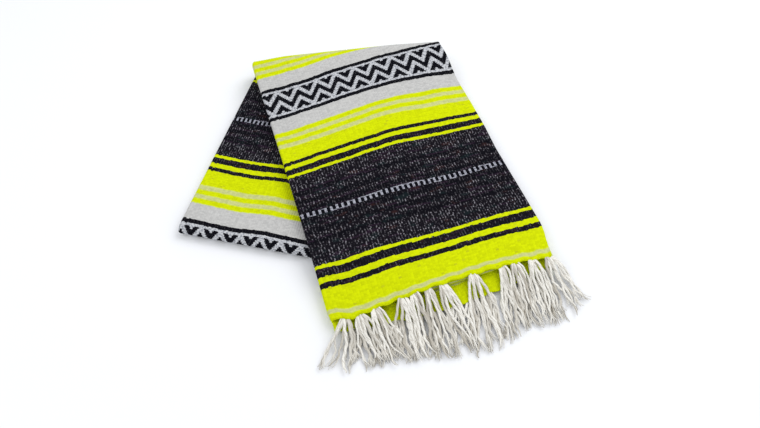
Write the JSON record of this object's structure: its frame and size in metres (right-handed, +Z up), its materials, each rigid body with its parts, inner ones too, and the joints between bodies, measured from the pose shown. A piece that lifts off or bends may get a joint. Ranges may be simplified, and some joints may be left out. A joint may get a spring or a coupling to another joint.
{
  "type": "folded blanket",
  "caption": "Woven striped blanket with zigzag bands and knotted fringe, folded into two thick strips laid across each other at a slant",
  "frame": {"origin": "centre of the bounding box in plan, on the table under the blanket", "axes": "+Z up off the table, +X to the right and +Y away as seen from the side of the fringe; the upper strip runs from the hem towards +Y and 19 degrees to -X"},
  "size_m": [0.5606, 0.6094, 0.047],
  "materials": {
    "upper_cloth": "woven recycled yarn in neon yellow, charcoal and white stripes",
    "lower_cloth": "the same striped weave, charcoal and yellow",
    "hem_cloth": "plain yellow weave at the hem",
    "folded_layers": "stacked layer edges of the same weave",
    "fringe_upper": "twisted off-white cotton yarn",
    "fringe_under": "twisted off-white cotton yarn"
  },
  "bodies": {
    "root": {"upper_cloth": "upper_cloth", "lower_cloth": "lower_cloth", "hem_cloth": "hem_cloth", "folded_layers": "folded_layers", "fringe_upper": "fringe_upper", "fringe_under": "fringe_under"}
  },
  "joints": []
}
